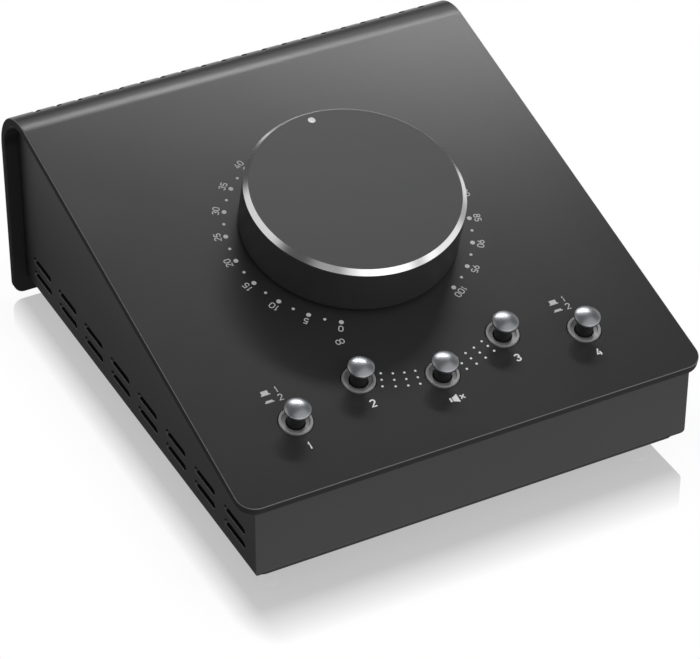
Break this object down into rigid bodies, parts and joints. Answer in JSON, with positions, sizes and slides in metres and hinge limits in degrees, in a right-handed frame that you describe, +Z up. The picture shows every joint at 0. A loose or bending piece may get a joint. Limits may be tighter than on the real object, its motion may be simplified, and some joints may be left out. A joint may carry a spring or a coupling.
{
  "type": "studio monitor controller",
  "caption": "Sloped desktop audio controller with a large volume knob, push buttons, vented metal case and rear jack sockets.",
  "frame": {"origin": "on the desk, under the centre of the whole object's box, jack sockets included", "axes": "+X to the right seen from the front, +Y to the back, +Z up; the buttons are at -Y and the jack sockets at +Y"},
  "size_m": [0.134, 0.1536, 0.0721],
  "materials": {
    "cover_paint": "fine satin dark grey powder coat",
    "case_paint": "fine satin near-black powder coat",
    "foot_rubber": "matt black rubber",
    "plated_steel": "nickel-plated steel",
    "black_steel": "black oxide steel",
    "circuit_board": "green solder mask on glass fibre board",
    "collar_metal": "satin grey anodised",
    "cap_chrome": "satin chrome",
    "dark_plastic": "moulded black plastic",
    "knob_black": "black anodised, smooth",
    "knob_bright": "diamond-cut bright bevel",
    "knob_grey": "fine matt grey anodised",
    "brass": "turned brass",
    "ribbon_plastic": "grey ribbon cable jacket"
  },
  "bodies": {
    "case": {"top_cover": "cover_paint", "lower_case": "case_paint", "bottom_plate": "case_paint", "rubber_feet": "foot_rubber", "front_posts": "plated_steel", "rear_posts": "plated_steel", "board_standoffs": "plated_steel", "case_screws": "black_steel", "board_screws": "black_steel", "main_board": "circuit_board", "jack_board": "circuit_board", "collar_source": "collar_metal", "switch_source": "dark_plastic", "collar_mono": "collar_metal", "switch_mono": "dark_plastic", "collar_mute": "collar_metal", "switch_mute": "dark_plastic", "collar_dim": "collar_metal", "switch_dim": "dark_plastic", "collar_monitor": "collar_metal", "switch_monitor": "dark_plastic", "return_springs": "plated_steel", "control_housing": "plated_steel", "control_can": "plated_steel", "control_track": "dark_plastic", "control_washer": "plated_steel", "control_nut": "plated_steel", "jack_socket_1": "dark_plastic", "jack_socket_2": "dark_plastic", "jack_socket_3": "dark_plastic", "jack_socket_4": "dark_plastic", "jack_socket_5": "dark_plastic", "jack_socket_6": "dark_plastic", "jack_socket_7": "dark_plastic", "jack_socket_8": "dark_plastic", "jack_washers": "plated_steel", "jack_nuts": "plated_steel", "ribbon_sockets": "dark_plastic", "ribbon_cable": "ribbon_plastic"},
    "knob": {"knob_body": "knob_black", "knob_ring": "knob_bright", "knob_face": "knob_grey", "knob_hub": "brass", "knob_grub_screw": "black_steel", "control_shaft": "plated_steel", "control_wiper": "brass"},
    "button_source": {"cap_source": "cap_chrome", "plunger_source": "dark_plastic"},
    "button_mono": {"cap_mono": "cap_chrome", "plunger_mono": "dark_plastic"},
    "button_mute": {"cap_mute": "cap_chrome", "plunger_mute": "dark_plastic"},
    "button_dim": {"cap_dim": "cap_chrome", "plunger_dim": "dark_plastic"},
    "button_monitor": {"cap_monitor": "cap_chrome", "plunger_monitor": "dark_plastic"}
  },
  "joints": [
    {"name": "knob_turn", "type": "hinge", "parent": "case", "child": "knob", "pos_m": [0, -0.00393, 0.0496], "axis": [0, -0.2546, 0.967], "range_deg": [-150, 150]},
    {"name": "button_source_press", "type": "slide", "parent": "case", "child": "button_source", "axis": [0, 0.2546, -0.967], "range_m": [0, 0.0025], "stiffness_N_per_m": 600, "springref_m": -0.001},
    {"name": "button_mono_press", "type": "slide", "parent": "case", "child": "button_mono", "axis": [0, 0.2546, -0.967], "range_m": [0, 0.0025], "stiffness_N_per_m": 600, "springref_m": -0.001},
    {"name": "button_mute_press", "type": "slide", "parent": "case", "child": "button_mute", "axis": [0, 0.2546, -0.967], "range_m": [0, 0.0025], "stiffness_N_per_m": 600, "springref_m": -0.001},
    {"name": "button_dim_press", "type": "slide", "parent": "case", "child": "button_dim", "axis": [0, 0.2546, -0.967], "range_m": [0, 0.0025], "stiffness_N_per_m": 600, "springref_m": -0.001},
    {"name": "button_monitor_press", "type": "slide", "parent": "case", "child": "button_monitor", "axis": [0, 0.2546, -0.967], "range_m": [0, 0.0025], "stiffness_N_per_m": 600, "springref_m": -0.001}
  ]
}
